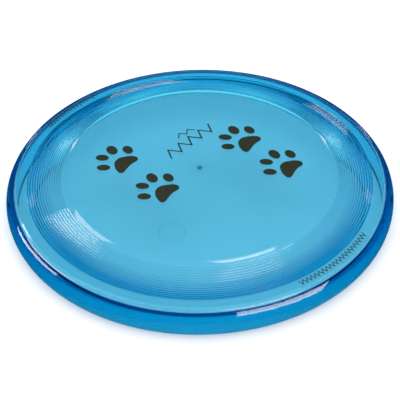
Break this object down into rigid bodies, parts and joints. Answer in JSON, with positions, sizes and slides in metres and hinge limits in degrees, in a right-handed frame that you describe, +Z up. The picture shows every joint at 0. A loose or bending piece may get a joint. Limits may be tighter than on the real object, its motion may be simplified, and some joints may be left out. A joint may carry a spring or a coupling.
{
  "type": "flying disc",
  "caption": "Round closed flying disc with a low domed plate, a ring of fine flight grooves, a deep rounded rim that is open below, and printed paw marks.",
  "frame": {"origin": "centre of the flat foot ring of the rim, on the disc's axis", "axes": "+Z up along the disc's axis; -Y towards the viewer of the stored view, so the paw prints' toes point to -X +Y"},
  "size_m": [0.23, 0.23, 0.0262],
  "materials": {
    "disc_plastic": "glossy, translucent blue",
    "print_ink": "satin dark printing ink"
  },
  "bodies": {
    "root": {"disc_body": "disc_plastic", "paw_1_pad": "print_ink", "paw_1_toe_1": "print_ink", "paw_1_toe_2": "print_ink", "paw_1_toe_3": "print_ink", "paw_1_toe_4": "print_ink", "paw_2_pad": "print_ink", "paw_2_toe_1": "print_ink", "paw_2_toe_2": "print_ink", "paw_2_toe_3": "print_ink", "paw_2_toe_4": "print_ink", "paw_3_pad": "print_ink", "paw_3_toe_1": "print_ink", "paw_3_toe_2": "print_ink", "paw_3_toe_3": "print_ink", "paw_3_toe_4": "print_ink", "paw_4_pad": "print_ink", "paw_4_toe_1": "print_ink", "paw_4_toe_2": "print_ink", "paw_4_toe_3": "print_ink", "paw_4_toe_4": "print_ink", "long_stroke": "print_ink", "short_stroke": "print_ink", "band_stroke_near": "print_ink", "band_stroke_far": "print_ink"}
  },
  "joints": []
}
